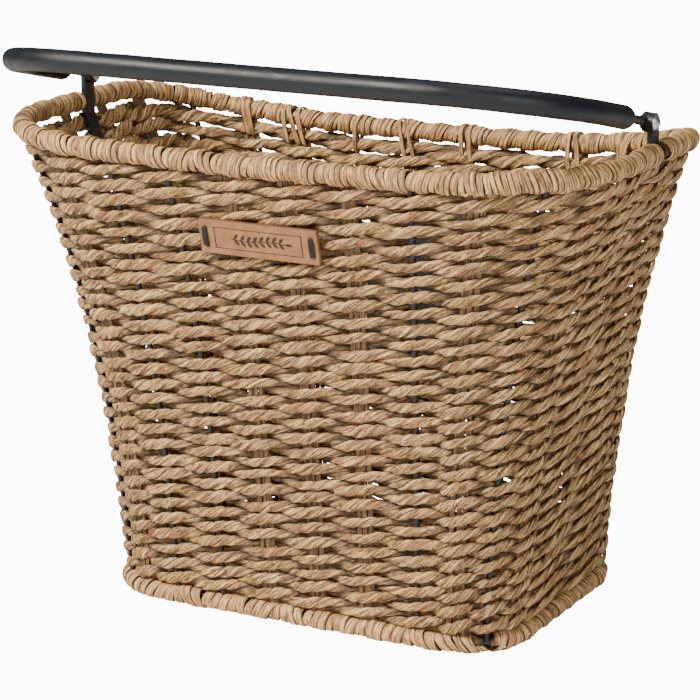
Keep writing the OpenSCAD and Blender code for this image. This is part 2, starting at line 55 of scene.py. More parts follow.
TURN = 2 * math.pi


# ---- Sizes taken from the frame --------------------------------------------------------
def span(node):
    """Lowest and highest corner of a CAD node, in millimetres."""
    low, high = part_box(node)
    return np.array(low) / MM, np.array(high) / MM


WIRE = 4.0  # diameter of the rim and base wires
RIM_LOW, RIM_HIGH = span("top_rim_wire")
RIM_LENGTH, RIM_WIDTH = (RIM_HIGH - RIM_LOW)[:2] - WIRE
RIM_MIDDLE = (RIM_LOW + RIM_HIGH)[1] / 2
RIM_HEIGHT = RIM_HIGH[2] - WIRE / 2
RIM_CORNER = 77.0
FRONT_DIP = 4.6
BACK_DIP = RIM_HIGH[2] - RIM_LOW[2] - WIRE
BASE_LOW, BASE_HIGH = span("base_ring_wire")
BASE_LENGTH, BASE_WIDTH = (BASE_HIGH - BASE_LOW)[:2] - WIRE
BASE_MIDDLE = (BASE_LOW + BASE_HIGH)[1] / 2
BASE_LEVEL = (BASE_LOW + BASE_HIGH)[2] / 2
BASE_CORNER = 37.0
RIM_WRAP = 6.2  # radius of the wrap round the rim
BASE_WRAP = 5.8
FLARE_POWER, FLARE_SWELL = 2.3, 0.43
WALL_LOW = BASE_LEVEL + BASE_WRAP + 0.5
FRONT_GAP, BACK_GAP = 0.8, 4.5  # between the first row and the rim's wrap

STRAP_SHIFT = 4.5  # how far the brackets stand behind the middle of the ends

STAKES = 28
ROWS = 28


# ---- Outline of the basket -------------------------------------------------------------
# A place is a number from 0 to 8 round a rounded rectangle: 0 to 1 is the right side, 1 to 2
# the corner at its back end, 2 to 3 the back, and so on round to the front right corner.
def outward(place):
    """Unit vectors, along X and Y, that point out of the outline at these places."""
    place = np.mod(place, 8)
    quarter, along = np.floor(place / 2), np.mod(place, 2)
    angle = np.radians(90 * quarter + 90 * np.maximum(0, along - 1))
    return np.stack([np.cos(angle), np.sin(angle)], -1)


def outline(place, length, width, corner, middle):
    """Points, along X and Y, of a rounded rectangle at these places."""
    place = np.mod(place, 8)
    quarter, along = np.floor(place / 2), np.mod(place, 2)
    odd = np.mod(quarter, 2) == 1
    reach = np.where(odd, width, length) / 2 - corner
    half_side = np.where(odd, length, width) / 2 - corner
    sideways = half_side * (2 * np.minimum(along, 1) - 1)
    angle = np.radians(90 * quarter)
    across, along_side = np.cos(angle), np.sin(angle)
    out = outward(place)
    x = reach * across - sideways * along_side + corner * out[..., 0]
    y = reach * along_side + sideways * across + corner * out[..., 1] + middle
    return np.stack([x, y], -1)


def smooth(x):
    k = np.clip(x, 0, 1)
    return k * k * (3 - 2 * k)


def rim_xy(place):
    return outline(place, RIM_LENGTH, RIM_WIDTH, RIM_CORNER, RIM_MIDDLE)


def base_xy(place):
    return outline(place, BASE_LENGTH, BASE_WIDTH, BASE_CORNER, BASE_MIDDLE)


def rim_level(place):
    """Height of the rim wire's middle: it dips in front, and more at the back."""
    x, y = np.moveaxis(rim_xy(place), -1, 0)
    u = 2 * x / RIM_LENGTH
    front = smooth((1 - 2 * (y - RIM_MIDDLE) / RIM_WIDTH) / 2)
    return RIM_HEIGHT - front * FRONT_DIP * (1 - u**2) - (1 - front) * BACK_DIP * (1 - u**4)


def wall_top(place):
    """Height of the wall's upper edge, under the wrap of the rim."""
    behind = smooth(1 + 2 * (rim_xy(place)[..., 1] - RIM_MIDDLE) / RIM_WIDTH)
    return rim_level(place) - RIM_WRAP - FRONT_GAP - (BACK_GAP - FRONT_GAP) * behind


def wall_at(place, height, off=0.0):
    """Points of the wall's middle surface at these heights, moved outwards by off."""
    k = np.clip((height - BASE_LEVEL) / (rim_level(place) - BASE_LEVEL), 0, 1.1)
    flare = (k**FLARE_POWER + FLARE_SWELL * k * (1 - k))[..., None]
    base, rim = base_xy(place), rim_xy(place)
    xy = base + (rim - base) * flare + outward(place) * np.asarray(off)[..., None]
    return np.concatenate([xy, np.broadcast_to(height, flare.shape[:-1])[..., None]], -1)


SIDE_RUN = RIM_WIDTH - 2 * RIM_CORNER
END_RUN = RIM_LENGTH - 2 * RIM_CORNER
ARC_RUN = math.pi / 2 * RIM_CORNER
RUNS = np.cumsum([0] + [SIDE_RUN, ARC_RUN, END_RUN, ARC_RUN] * 2)
RIM_RUN = RUNS[-1]
PITCH = RIM_RUN / STAKES


def place_after(run):
    """Places after these runs along the rim, counted from the front end of the right side."""
    return np.interp(np.mod(run, RIM_RUN), RUNS, np.arange(9)) + 8 * np.floor(run / RIM_RUN)


def place_at(stake):
    """Places at these stake numbers, which need not be whole."""
    return place_after(SIDE_RUN / 2 + PITCH * (np.asarray(stake) + 0.5))


STEEL_PLACES = (
    [6 + (x * PITCH + END_RUN / 2) / END_RUN for x in (-2.5, -1.5, 2.5)]
    + [2 + (END_RUN / 2 - x * PITCH) / END_RUN for x in (-1.5, 1.5)]
    + [1.5, 3.5, 5.5, 7.5]
)


def is_steel(stake):
    place = np.mod(place_at(stake), 8)
    return min(abs(place - s) for s in STEEL_PLACES) < 0.02


# ---- Meshes ----------------------------------------------------------------------------
def wander(rng, knots, x):
    """A smooth random curve from -1 to 1 with one value a knot, which closes on itself."""
    values = rng.uniform(-1, 1, knots)
    k = np.floor(x).astype(int)
    f = smooth(x - k)
    return values[k % knots] * (1 - f) + values[(k + 1) % knots] * f


class Skin:
    """Rings of points joined into one mesh, with a grain direction and a groove depth, which the
    fibre shaders turn into painted shade and the leather into burned marks.
    """

    def __init__(self):
        self.points, self.grain, self.groove = [], [], []
        self.loops, self.sizes = [], []
        self.count = 0

    def add(self, rings, grain=None, groove=None, closed=False):
        """Joins a run of rings, an array of (ring, side, 3), and caps an open run's ends."""
        ring_count, sides = rings.shape[:2]
        ring = np.arange(ring_count if closed else ring_count - 1)[:, None]
        after = (ring + 1) % ring_count
        side = np.arange(sides)[None, :]
        beside = (side + 1) % sides
        quads = np.stack([ring * sides + side, ring * sides + beside,
                          after * sides + beside, after * sides + side], -1).reshape(-1, 4)
        flat = rings.reshape(-1, 3)
        corners = flat[quads]
        volume = np.einsum("ij,ij->", corners[:, 0], np.cross(corners[:, 1], corners[:, 2]))
        volume += np.einsum("ij,ij->", corners[:, 0], np.cross(corners[:, 2], corners[:, 3]))
        first = np.arange(sides)
        caps = [] if closed else [first[::-1], (ring_count - 1) * sides + first]
        for cap in caps:
            fan = flat[cap]
            volume += np.einsum("ij,ij->", np.cross(fan[:1], fan[1:-1]), fan[2:])
        step = 1 if volume > 0 else -1
        self.loops.append((quads[:, ::step] + self.count).ravel())
        self.sizes.append(np.full(len(quads), 4))
        for cap in caps:
            self.loops.append(cap[::step] + self.count)
            self.sizes.append(np.array([sides]))
        self.points.append(flat)
        self.grain.append(np.zeros_like(flat) if grain is None else grain.reshape(-1, 3))
        self.groove.append(np.zeros(len(flat)) if groove is None else groove.ravel())
        self.count += len(flat)

    def build(self, name):
        """The mesh object of everything that was added."""
        mesh = bpy.data.meshes.new(name)
        points = np.concatenate(self.points) * MM
        loops, sizes = np.concatenate(self.loops), np.concatenate(self.sizes)
        mesh.vertices.add(len(points))
        mesh.vertices.foreach_set("co", points.ravel())
        mesh.loops.add(len(loops))
        mesh.loops.foreach_set("vertex_index", loops)
        mesh.polygons.add(len(sizes))
        mesh.polygons.foreach_set("loop_start", np.cumsum(sizes) - sizes)
        mesh.update(calc_edges=True)
        mesh.polygons.foreach_set("use_smooth", sizes == 4)
        grain = mesh.attributes.new("grain", "FLOAT_VECTOR", "POINT")
        grain.data.foreach_set("vector", np.concatenate(self.grain).ravel() * MM)
        groove = mesh.attributes.new("groove", "FLOAT", "POINT")
        groove.data.foreach_set("value", np.concatenate(self.groove))
        mesh.validate()
        obj = bpy.data.objects.new(name, mesh)
        bpy.context.scene.collection.objects.link(obj)
        return obj


def finish_piece(obj, material, body="basket", replaces=()):
    """Gives a piece its material, its body and the CAD nodes it stands for."""
    obj.data.materials.append(material)
    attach(obj, body)
    if replaces:
        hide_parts(*replaces)
    return obj


def tube(path, up, angle, reach):
    """Rings round a path at these angles from the side, this far out, with up roughly over it."""
    along = np.gradient(path, axis=0)
    along /= np.linalg.norm(along, axis=1)[:, None]
    across = np.cross(along, up)
    across /= np.linalg.norm(across, axis=1)[:, None]
    square = np.cross(across, along)
    turned = (np.cos(angle)[None, :, None] * across[:, None, :]
              + np.sin(angle)[None, :, None] * square[:, None, :])
    return path[:, None, :] + np.asarray(reach)[..., None] * turned


# ---- Materials -------------------------------------------------------------------------
class Nodes:
    """Short way to add and join the nodes of a material or of a node group."""

    def __init__(self, tree):
        self.tree = tree

    def feed(self, socket, value):
        """Joins another node's output to a socket, or sets it to a plain value."""
        if isinstance(value, bpy.types.NodeSocket):
            self.tree.links.new(value, socket)
        else:
            socket.default_value = value

    def add(self, kind, *inputs, **settings):
        """Adds a node. Each input is (socket, value or another node's output)."""
        node = self.tree.nodes.new("ShaderNode" + kind)
        for name, value in settings.items():
            setattr(node, name, value)
        for socket, value in inputs:
            self.feed(node.inputs[socket], value)
        return node

    def noise(self, vector, scale, detail=3.0, roughness=0.55):
        node = self.add("TexNoise", ("Vector", vector), ("Scale", scale), ("Detail", detail),
                        ("Roughness", roughness))
        return node.outputs["Fac"]

    def streaks(self, vector, scale, detail, roughness):
        """Noise with its own scale on each axis, so that it stretches along one of them."""
        node = self.add("VectorMath", (0, vector), (1, scale), operation="MULTIPLY")
        return self.noise(node.outputs[0], 1.0, detail, roughness)

    def math(self, operation, a, b=0.0):
        return self.add("Math", (0, a), (1, b), operation=operation).outputs[0]

    def window(self, value, low, high, to_low=0.0, to_high=1.0):
        """Maps a range of values onto another, smoothly, and holds the ends."""
        node = self.add("MapRange", ("Value", value), ("From Min", low), ("From Max", high),
                        ("To Min", to_low), ("To Max", to_high), interpolation_type="SMOOTHSTEP")
        return node.outputs[0]

    def mix(self, factor, a, b, blend="MIX"):
        node = self.tree.nodes.new("ShaderNodeMix")
        node.data_type, node.blend_type = "RGBA", blend
        for socket, value in ((0, factor), (6, a), (7, b)):
            self.feed(node.inputs[socket], value)
        return node.outputs[2]

    def surface(self, shader, tone, rough, height, strength, distance):
        """Joins a colour, a roughness and a bump from a height to a shader."""
        bump = self.add("Bump", ("Strength", strength), ("Distance", distance), ("Height", height))
        self.feed(shader.inputs["Base Color"], tone)
        self.feed(shader.inputs["Roughness"], rough)
        self.feed(shader.inputs["Normal"], bump.outputs[0])


def group(name, inputs, outputs):
    """An empty node group with these sockets, and a Nodes to fill it."""
    tree = bpy.data.node_groups.new(name, "ShaderNodeTree")
    for socket, kind, value in inputs:
        made = tree.interface.new_socket(socket, in_out="INPUT", socket_type="NodeSocket" + kind)
        if value is not None:
            made.default_value = value
    for socket, kind in outputs:
        tree.interface.new_socket(socket, in_out="OUTPUT", socket_type="NodeSocket" + kind)
    nodes = Nodes(tree)
    return nodes, tree.nodes.new("NodeGroupInput"), tree.nodes.new("NodeGroupOutput")


def colour(red, green, blue):
    """A colour given as it looks on a screen, from 0 to 255, as the shader takes it."""
    def linear(c):
        c /= 255
        return c / 12.92 if c <= 0.04045 else ((c + 0.055) / 1.055) ** 2.4
    return (linear(red), linear(green), linear(blue), 1.0)


def plant_fibre_group():
    """Colour, roughness and height of a dried plant fibre, along the grain it is given, with
    painted shade mixed in where its Groove input says.
    """
    nodes, inside, outside = group(
        "plant_fibre",
        [("Grain", "Vector", None), ("Place", "Vector", None), ("Groove", "Float", 0.0),
         ("Light", "Color", colour(250, 211, 136)), ("Middle", "Color", colour(164, 116, 64)),
         ("Dark", "Color", colour(60, 34, 15)), ("Blush", "Color", colour(188, 128, 84)),
         ("Fleck", "Float", 0.5)],
        [("Colour", "Color"), ("Roughness", "Float"), ("Height", "Float")])
    given = inside.outputs
    strips = nodes.streaks(given["Grain"], (60, 800, 800), 4.0, 0.6)
    fibres = nodes.streaks(given["Grain"], (120, 3600, 3600), 2.0, 0.5)
    broad = nodes.noise(given["Place"], 120.0, 2.0, 0.6)
    patches = nodes.streaks(given["Grain"], (130, 420, 420), 3.0, 0.65)
    lines = nodes.streaks(given["Grain"], (70, 1500, 1500), 2.0, 0.5)
    tone = nodes.mix(nodes.window(strips, 0.42, 0.58), given["Middle"], given["Light"])
    lined = nodes.mix(nodes.window(lines, 0.50, 0.60, 0.0, 0.75), tone, given["Dark"])
    dusk = nodes.mix(nodes.window(patches, 0.52, 0.68, 0.0, 0.8), lined, given["Dark"])
    blush = nodes.mix(nodes.window(broad, 0.50, 0.70, 0.0, 0.34), dusk, given["Blush"])
    fleck = nodes.streaks(given["Grain"], (420, 1300, 1300), 2.0, 0.6)
    amount = nodes.math("MULTIPLY", nodes.window(fleck, 0.56, 0.66), given["Fleck"])
    flecked = nodes.mix(amount, blush, given["Dark"])
    # Painted shade: the Groove input darkens the fibre towards near black in grooves, creases and
    # hidden parts.
    groove = nodes.math("MULTIPLY", given["Groove"], 0.88)
    shaded = nodes.mix(groove, flecked, colour(20, 12, 6))
    height = nodes.math("MULTIPLY", strips, 0.6)
    height = nodes.math("ADD", height, nodes.math("MULTIPLY", fibres, 0.4))
    nodes.feed(outside.inputs["Colour"], shaded)
    nodes.feed(outside.inputs["Roughness"], nodes.window(fibres, 0.3, 0.7, 0.45, 0.72))
    nodes.feed(outside.inputs["Height"], height)
    return nodes.tree


def worn_coat_group():
    """Roughness and height of a sprayed or moulded skin, with faint dust in patches."""
    nodes, inside, outside = group(
        "worn_coat",
        [("Place", "Vector", None), ("Base", "Color", colour(30, 30, 32)),
         ("Dust", "Color", colour(92, 92, 95)), ("Peel", "Float", 900.0),
         ("Rough Low", "Float", 0.35), ("Rough High", "Float", 0.5)],
        [("Colour", "Color"), ("Roughness", "Float"), ("Height", "Float")])
    given = inside.outputs
    peel = nodes.noise(given["Place"], given["Peel"], 2.0, 0.5)
    patch = nodes.noise(given["Place"], 45.0, 4.0, 0.6)
    scuff = nodes.streaks(given["Place"], (400, 90, 900), 3.0, 0.6)
    dusty = nodes.mix(nodes.window(scuff, 0.56, 0.8, 0.0, 0.35), given["Base"], given["Dust"])
    spread = nodes.window(patch, 0.3, 0.7)
    range_up = nodes.math("SUBTRACT", given["Rough High"], given["Rough Low"])
    rough = nodes.math("ADD", given["Rough Low"], nodes.math("MULTIPLY", spread, range_up))
    nodes.feed(outside.inputs["Colour"], dusty)
    nodes.feed(outside.inputs["Roughness"], rough)
    nodes.feed(outside.inputs["Height"], peel)
    return nodes.tree


def material(name, **sockets):
    """A new material's nodes, its Principled shader and its output, with plain values set."""
    made = bpy.data.materials.new(name)
    made.use_nodes = True
    shader = made.node_tree.nodes["Principled BSDF"]
    for socket, value in sockets.items():
        shader.inputs[socket.replace("_", " ")].default_value = value
    return made, Nodes(made.node_tree), shader


def join_group(nodes, shader, tree, bump, distance, **inputs):
    """Places a group in a material, and joins its outputs to the shader."""
    placed = nodes.add("Group")
    placed.node_tree = tree
    for socket, value in inputs.items():
        nodes.feed(placed.inputs[socket.replace("_", " ")], value)
    got = placed.outputs
    nodes.surface(shader, got["Colour"], got["Roughness"], got["Height"], bump, distance)


PLANT_FIBRE = plant_fibre_group()
WORN_COAT = worn_coat_group()


def fibre_material(name, bump=0.7, **tones):
    """Dried fibre that takes its grain, and its painted shade from the groove attribute, from the
    mesh.
    """
    made, nodes, shader = material(name, Specular_IOR_Level=0.5)
    grain = nodes.add("Attribute", attribute_name="grain").outputs["Vector"]
    groove = nodes.add("Attribute", attribute_name="groove").outputs["Fac"]
    place = nodes.add("TexCoord").outputs["Object"]
    join_group(nodes, shader, PLANT_FIBRE, bump, 0.0008, Grain=grain, Place=place, Groove=groove,
               **tones)
    return made


def coat_material(name, bump=0.15, distance=0.0002, plain=None, **values):
    """Powder coat, moulded nylon or plated steel."""
    made, nodes, shader = material(name, **(plain or {}))
    place = nodes.add("TexCoord").outputs["Object"]
    join_group(nodes, shader, WORN_COAT, bump, distance, Place=place, **values)
    return made


TWISTED_STRAND = fibre_material("twisted_strand", bump=1.0, Fleck=0.8)
WOUND_STRIP = fibre_material(
    "wound_strip", bump=0.6, Fleck=0.6, Light=colour(250, 208, 136), Middle=colour(190, 142, 82),
    Dark=colour(98, 62, 32), Blush=colour(196, 136, 92))
# The stake strips' tones are darker than the strands', partly as painted shade for the stakes that
# stand in the gaps behind the strands.
STAKE_STRIP = fibre_material(
    "stake_strip", bump=0.6, Fleck=0.3, Light=colour(150, 119, 75), Middle=colour(110, 83, 50),
    Dark=colour(50, 34, 18), Blush=colour(128, 90, 62))
BLACK_STEEL = coat_material("black_powder_coat", Base=colour(27, 28, 30), Rough_Low=0.32,
                            Rough_High=0.5, Peel=1400.0)
BLACK_NYLON = coat_material("moulded_nylon", bump=0.35, Base=colour(33, 33, 35), Rough_Low=0.5,
                            Rough_High=0.66, Peel=2600.0)
ZINC_STEEL = coat_material("zinc_plate", plain={"Metallic": 1.0}, Base=colour(206, 208, 212),
                           Dust=colour(150, 148, 142), Rough_Low=0.22, Rough_High=0.42, Peel=700.0)


def foam_material():
    """Closed cell foam: fine pores and a soft long highlight."""
    made, nodes, shader = material("grip_foam", Specular_IOR_Level=0.45)
    place = nodes.add("TexCoord").outputs["Object"]
    pores = nodes.add("TexVoronoi", ("Vector", place), ("Scale", 1500.0)).outputs["Distance"]
    cloud = nodes.noise(place, 60.0, 4.0, 0.6)
    fine = nodes.noise(place, 2400.0, 2.0, 0.6)
    tone = nodes.mix(nodes.window(cloud, 0.35, 0.7), colour(11, 14, 20), colour(17, 22, 31))
    height = nodes.math("MULTIPLY", pores, 0.6)
    height = nodes.math("ADD", height, nodes.math("MULTIPLY", fine, 0.5))
    nodes.surface(shader, tone, nodes.window(cloud, 0.3, 0.7, 0.42, 0.54), height, 0.35, 0.0003)
    return made


def leather_material():
    """Smooth tan leather with a fine grain, darker where the mesh says it is burned."""
    made, nodes, shader = material("tag_leather", Specular_IOR_Level=0.4)
    place = nodes.add("TexCoord").outputs["Object"]
    burn = nodes.add("Attribute", attribute_name="groove").outputs["Fac"]
    grain = nodes.add("TexVoronoi", ("Vector", place), ("Scale", 1900.0)).outputs["Distance"]
    cloud = nodes.noise(place, 120.0, 5.0, 0.65)
    speck = nodes.noise(place, 1500.0, 3.0, 0.6)
    tone = nodes.mix(nodes.window(cloud, 0.35, 0.68), colour(148, 103, 62), colour(172, 126, 80))
    tone = nodes.mix(nodes.window(speck, 0.5, 0.75, 0.0, 0.35), tone, colour(122, 80, 44))
    tone = nodes.mix(burn, tone, colour(42, 22, 14))
    height = nodes.math("ADD", grain, nodes.math("MULTIPLY", speck, 0.7))
    nodes.surface(shader, tone, nodes.window(cloud, 0.3, 0.7, 0.5, 0.66), height, 0.3, 0.0002)
    return made


def thread_material():
    """Waxed black thread, its twist taken from the grain of the mesh."""
    made, nodes, shader = material("waxed_thread", Specular_IOR_Level=0.5)
    grain = nodes.add("Attribute", attribute_name="grain").outputs["Vector"]
    lay = nodes.streaks(grain, (300, 2600, 2600), 2.0, 0.6)
    tone = nodes.mix(nodes.window(lay, 0.35, 0.7), colour(15, 15, 16), colour(38, 37, 38))
    nodes.surface(shader, tone, nodes.window(lay, 0.3, 0.7, 0.45, 0.7), lay, 0.6, 0.0003)
    return made


# ---- Twined rows of the wall -----------------------------------------------------------
STEPS = 22  # sections of a strand between two stakes
SIDES = 18
SIDE_ANGLES = (np.arange(SIDES) / SIDES * TURN)[None, :]
PLIES = 3
LAY = 34.0  # run in which a strand's plies turn once
SWING = 2.35  # how far a strand swings out of the wall's middle at a stake
CROSSING = 2.2  # how far it lies above or below its row's middle between two stakes
THICK_OUT = 1.75  # half of a strand's thickness out of the wall
THICK_UP = 2.62  # and up the wall, where two strands cross
SPINDLE = 0.72  # how much higher a strand swells over a stake
BACK_SPINDLE = 0.7  # and more still along the back and the left end, which are woven closer
ROW_PITCH = 9.1  # distance between rows that these heights are given for
PLY_DEPTH = 0.4  # depth of the grooves between plies, as a share of the radius
LEVEL_WANDER = 0.42  # how far a row's middle wanders up and down
PHASE_WANDER = 0.45  # how far a crossing wanders, in radians
EDGE_WANDER = 0.35  # how far a strand wanders out and up
TUCK_DEPTH = 2.4  # a strand is dark within this distance of the wall's middle: painted shade where it passes behind the other strand
STRAP_PUSH = 3.4  # how far strands are pushed out by a bracket's strap
STRAP_REACH = 10.0
STRAP_FOOT = 240.0  # height above which they are


def lobes(angle, twist, depth):
    """Radius factor and groove depth round a strand of twisted plies; the groove depth is painted
    shade in the grooves between plies.
    """
    crest = np.abs(np.cos(PLIES / 2 * (angle - twist)))
    return 1 - depth * (1 - crest) ** 1.4, np.clip((0.42 - crest) / 0.42, 0, 1) ** 1.5


def strap_push(place, level):
    """How far the strands near the rim are pushed out to pass round a bracket's strap."""
    run = np.interp(np.mod(place, 8), np.arange(9), RUNS)
    straps = (SIDE_RUN / 2 + STRAP_SHIFT, RUNS[5] - SIDE_RUN / 2 - STRAP_SHIFT)
    near = sum(np.exp(-(((run - strap) / STRAP_REACH) ** 2)) for strap in straps)
    return STRAP_PUSH * near * smooth((level - STRAP_FOOT) / STRAP_REACH)


def closeness(place):
    """1 where the weave is closer, along the back and the left end, and 0 elsewhere."""
    return smooth((2.4 - np.abs(np.mod(place, 8) - 3.2)) / 0.6)


def add_strand(skin, row, which, rng):
    """One of the two strands of a row: out of the wall at every other stake."""
    stake = np.arange(STAKES * STEPS) / STEPS
    place = place_at(stake)
    top = wall_top(place)
    pitch = (top - WALL_LOW) / ROWS
    level = WALL_LOW + pitch * (row + 0.5) + LEVEL_WANDER * wander(rng, STAKES, stake)
    slack = rim_level(place) - RIM_WRAP - FRONT_GAP - top
    level += slack * (0.75 + 0.3 * wander(rng, STAKES, stake)) * (row / (ROWS - 1)) ** 3
    phase = math.pi * (stake + which) + PHASE_WANDER * wander(rng, STAKES, stake)
    out = np.sign(np.cos(phase)) * np.abs(np.cos(phase)) ** 0.8
    fat = 1.02 + 0.14 * wander(rng, STAKES, stake) + 0.08 * wander(rng, 3 * STAKES, 3 * stake)
    off = SWING * out + EDGE_WANDER * wander(rng, 2 * STAKES, 2 * stake) + strap_push(place, level)
    scale = pitch / ROW_PITCH
    rise = CROSSING * np.sin(phase) * scale + EDGE_WANDER * wander(rng, STAKES, stake)
    half_out = THICK_OUT * fat * (1 - 0.08 * np.abs(out))
    swell = SPINDLE + BACK_SPINDLE * closeness(place)
    half_up = (THICK_UP + swell * np.abs(out)) * fat * scale
    run = PITCH * stake
    turns = round(RIM_RUN / LAY)
    twist = TURN * turns * stake / STAKES + 1.1 * wander(rng, STAKES, stake) + rng.uniform(0, TURN)
    factor, groove = lobes(SIDE_ANGLES, twist[:, None], PLY_DEPTH)
    factor = factor * (1 + 0.03 * rng.uniform(-1, 1, factor.shape))
    out_by = off[:, None] + half_out[:, None] * factor * np.cos(SIDE_ANGLES)
    up_by = rise[:, None] + half_up[:, None] * factor * np.sin(SIDE_ANGLES)
    # Painted shade: near the wall's middle, where a strand passes behind the other, it is made
    # dark, as in its ply grooves.
    tuck_shade = np.clip(1 - np.abs(out_by) / TUCK_DEPTH, 0, 1) ** 1.2
    groove = np.maximum(groove, tuck_shade)
    rings = wall_at(np.repeat(place[:, None], SIDES, 1), level[:, None] + up_by, out_by)
    round_grain = SIDE_ANGLES - twist[:, None]
    grain = np.stack([np.repeat(run[:, None] + rng.uniform(0, 4000), SIDES, 1),
                      half_out[:, None] * np.cos(round_grain),
                      half_up[:, None] * np.sin(round_grain)], -1)
    skin.add(rings, grain, groove, closed=True)


ROWS_A_PIECE = 4
WALL_NODES = ("woven_front", "woven_back", "woven_left", "woven_right")


def make_wall_rows():
    """The wall's twined rows, four to a piece."""
    rng = np.random.default_rng(11)
    for first in range(0, ROWS, ROWS_A_PIECE):
        skin = Skin()
        for row in range(first, first + ROWS_A_PIECE):
            for which in (0, 1):
                add_strand(skin, row, which, rng)
        piece = skin.build("wall_rows_%d_to_%d" % (first + 1, first + ROWS_A_PIECE))
        finish_piece(piece, TWISTED_STRAND, replaces=WALL_NODES)


# ---- Stakes ----------------------------------------------------------------------------
STAKE_STRIP_WIDTH = 3.0
STAKE_STRIP_THICK = 0.75  # half of it
STAKE_STRIP_GAP = 0.4
STAKE_RINGS = 40


def flat_profile(width, half_thick, ridges):
    """Cross-section of a flat strip, (side, 2), as width and thickness, with ridges outside."""
    outer = np.linspace(-1, 1, 9)
    ridge = 1 + 0.22 * np.cos(ridges * math.pi * outer)
    crown = half_thick * (1 - 0.55 * np.abs(outer) ** 3) * ridge
    upper = np.stack([outer * width / 2, crown], -1)
    inner = np.linspace(0.9, -0.9, 5)
    lower = np.stack([inner * width / 2, -half_thick * (1 - 0.5 * np.abs(inner) ** 3)], -1)
    return np.concatenate([upper, lower])


def painted_edge_shade(profile, width):
    """Groove depth across a strip of this width, as painted shade: 0, and up to 1 at its edges,
    where it meets its neighbours.
    """
    return np.clip(np.abs(profile[:, 0]) * 2 / width - 0.72, 0, 1) / 0.28


def strip_grain(length, profile, shift=0.0):
    """Grain along a strip: its length at each ring, and its profile's width and thickness."""
    rings = len(length)
    return np.stack([np.repeat(length[:, None], len(profile), 1),
                     np.tile(profile[:, 0] + shift, (rings, 1)),
                     np.tile(profile[:, 1], (rings, 1))], -1)


def make_stakes():
    """Threes of flat strips that stand between the strands, from the base ring to the rim."""
    rng = np.random.default_rng(5)
    skin = Skin()
    profile = flat_profile(STAKE_STRIP_WIDTH, STAKE_STRIP_THICK, 2)
    for stake in (s for s in range(STAKES) if not is_steel(s)):
        place = place_at(stake)
        out = outward(place)
        side = np.array([-out[1], out[0], 0.0])
        out = np.append(out, 0.0)
        levels = np.linspace(BASE_LEVEL + 2, float(rim_level(place)) - 2, STAKE_RINGS)
        for strip in (-1, 0, 1):
            off = 0.15 * wander(rng, 12, levels / 25)
            shift = strip * (STAKE_STRIP_WIDTH + STAKE_STRIP_GAP)
            shift = shift + 0.4 * wander(rng, 8, levels / 40)
            middle = wall_at(np.full(STAKE_RINGS, place), levels, off) + side * shift[:, None]
            rings = (middle[:, None, :] + side * profile[None, :, :1] + out * profile[None, :, 1:])
            skin.add(rings, strip_grain(levels + 300 * stake, profile, 10 * strip))
    finish_piece(skin.build("stake_strips"), STAKE_STRIP, replaces=["stakes"])


# ---- Wound rims ------------------------------------------------------------------------
def wire_frame(place, xy, level):
    """Middle of a ring wire at these places, and the unit vectors out of it and along it."""
    middle = np.concatenate([xy, level[..., None]], -1)
    out = np.concatenate([outward(place), np.zeros(place.shape + (1,))], -1)
    along = np.stack([-out[..., 1], out[..., 0], np.zeros(place.shape)], -1)
    return middle, out, along


def rim_frame(run):
    """The frame of the rim wire after these runs."""
    place = place_after(run)
    return wire_frame(place, rim_xy(place), rim_level(place))


BASE_RUNS = np.cumsum([0] + [BASE_WIDTH - 2 * BASE_CORNER, math.pi / 2 * BASE_CORNER,
                             BASE_LENGTH - 2 * BASE_CORNER, math.pi / 2 * BASE_CORNER] * 2)
BASE_RUN = BASE_RUNS[-1]


def base_frame(run):
    """The frame of the base wire after these runs."""
    place = np.interp(np.mod(run, BASE_RUN), BASE_RUNS, np.arange(9))
    return wire_frame(place, base_xy(place), np.full(place.shape, BASE_LEVEL))


TURN_STEPS = 26  # sections of a strip in one turn
CORE_SIDES = 16


def wind(skin, ring_frame, start, end, radius, width, rng, bunch, floor=-1e9):
    """Winds a flat strip round a wire from start to end, in bunches of a few turns."""
    edges, swell, tilt = [start], [], []
    while edges[-1] < end:
        size = int(rng.integers(bunch[0], bunch[1]))
        bulge = rng.uniform(-0.4, 0.25)
        lean = rng.uniform(-0.8, 2.0)
        for turn in range(size):
            edges.append(edges[-1] + width * rng.uniform(0.78, 1.22))
            crown = math.sin(math.pi * (turn + 0.5) / size)
            swell.append(radius - 1.9 + 1.6 * crown + bulge + rng.uniform(-0.2, 0.2))
            tilt.append(width * (lean + rng.uniform(-0.4, 0.4)))
        edges[-1] += width * rng.uniform(0.3, 0.9)
    turns = len(swell)
    edges = start + (np.array(edges) - start) * (end - start) / (edges[-1] - start)
    widths = np.diff(edges)
    step = np.arange(turns * TURN_STEPS + 1) / TURN_STEPS
    knot = np.arange(turns)
    middle_run = np.interp(step, knot + 0.5, (edges[:-1] + edges[1:]) / 2)
    strip_width = np.interp(step, knot + 0.5, widths) * 1.04
    strip_radius = np.interp(step, knot + 0.5, swell)
    lean_run = np.interp(step, knot + 0.5, tilt)
    turn_angle = TURN * step
    run = middle_run - lean_run * np.sin(turn_angle) * 0.5
    run = np.clip(run, start, end)
    profile = flat_profile(1.0, 0.62, 3)
    across = profile[:, 0][None, :] * strip_width[:, None]
    thick = profile[:, 1][None, :]
    middle, out, along = ring_frame(run)
    up = np.cross(out, along)
    reach = (strip_radius[:, None] + thick)[..., None]
    turned = (out * np.cos(turn_angle)[:, None] + up * np.sin(turn_angle)[:, None])[:, None, :]
    rings = middle[:, None, :] + reach * turned + across[..., None] * along[:, None, :]
    rings[..., 2] = np.maximum(rings[..., 2], floor)
    length = (turn_angle * radius)[:, None] + np.zeros_like(across)
    grain = np.stack([length, across, thick + np.zeros_like(across)], -1)
    skin.add(rings, grain, painted_edge_shade(profile, 1.0)[None, :] + np.zeros_like(across))


